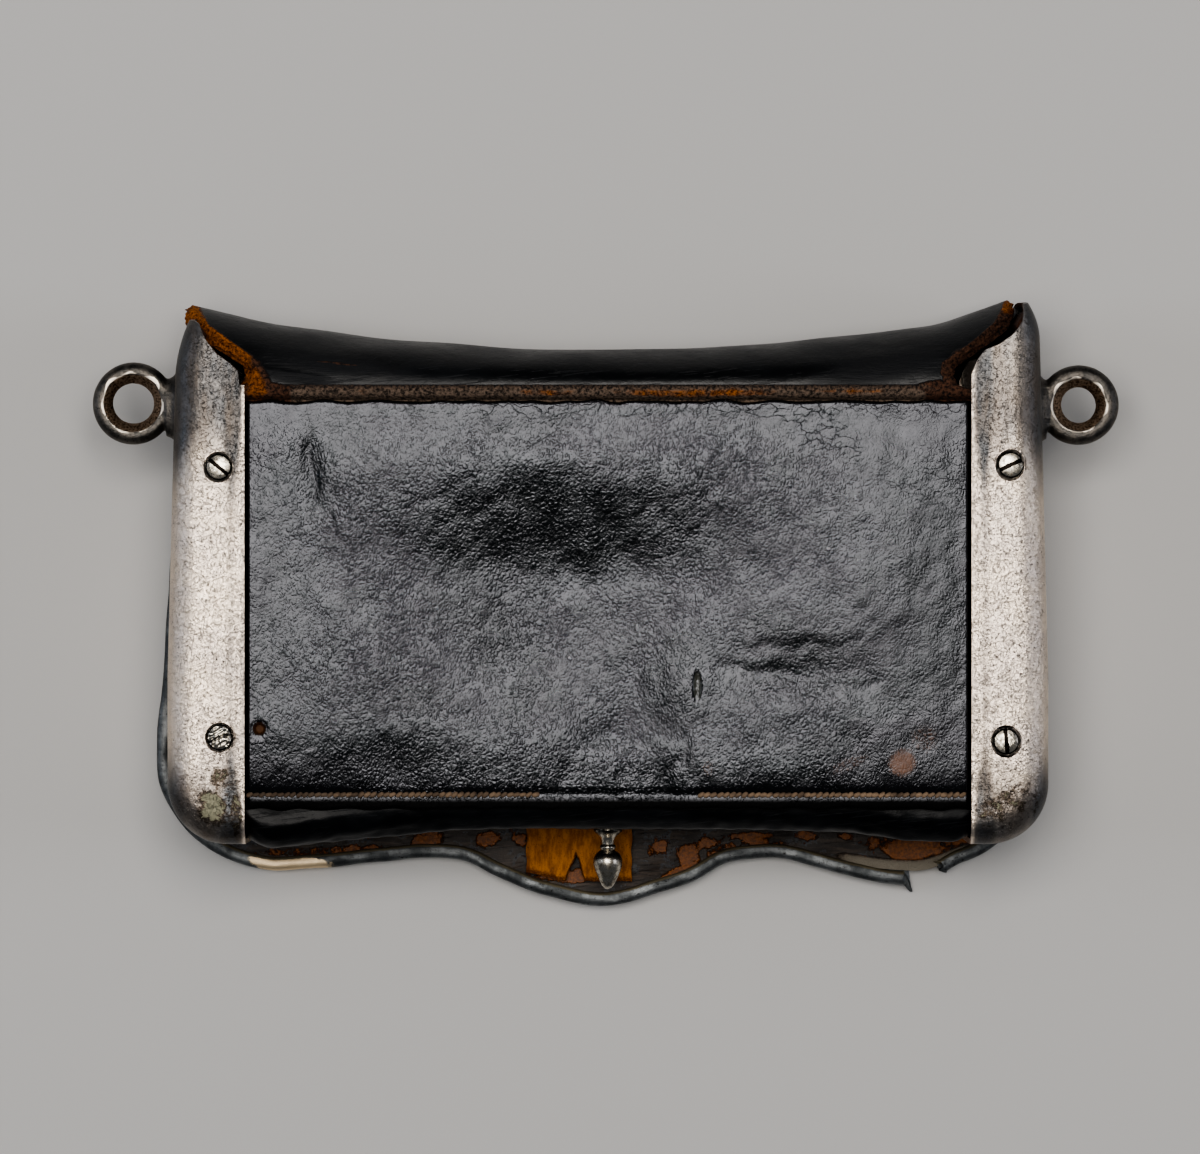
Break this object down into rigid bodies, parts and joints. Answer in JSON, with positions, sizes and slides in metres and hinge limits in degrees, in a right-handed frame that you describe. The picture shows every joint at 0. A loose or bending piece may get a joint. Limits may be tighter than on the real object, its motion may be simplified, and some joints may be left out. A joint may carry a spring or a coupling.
{
  "type": "cartridge pouch",
  "caption": "Cavalry cartridge pouch of black leather with silvered metal ends, carrying rings, a rolled flap with a metal rim and a finial catch, lying face down.",
  "frame": {"origin": "centre of the footprint, on the surface that the closed flap's front lies on", "axes": "+X along the pouch to its right side seen from the back, +Y from the bottom up to the flap's roll, +Z from the flap's front up to the back panel"},
  "size_m": [0.1876, 0.1122, 0.0383],
  "materials": {
    "black_grained_leather": "pebbled grain, worn to a dull sheen, with scratches and bare brown spots",
    "black_smooth_leather": "smooth and polished, finely creased, raw brown at its cut edges",
    "brown_leather": "undressed, dry and fibrous",
    "tan_leather": "ochre, with crumbling edges",
    "silvered_metal": "silver plate, worn and tarnished, finely scratched",
    "rim_metal": "tarnished silver plate",
    "dark_steel": "dark, handled steel with brown in the hollows"
  },
  "bodies": {
    "root": {"back_panel": "black_grained_leather", "box_shell": "black_smooth_leather", "end_wall_left": "brown_leather", "end_wall_right": "brown_leather", "side_plate_left": "silvered_metal", "side_plate_right": "silvered_metal", "screw_left_top": "dark_steel", "screw_left_bottom": "dark_steel", "screw_right_top": "dark_steel", "screw_right_bottom": "dark_steel", "closure_knob": "dark_steel", "flap": "black_smooth_leather", "flap_rim": "rim_metal", "flap_rim_right": "rim_metal", "closing_tab": "tan_leather"}
  },
  "joints": []
}
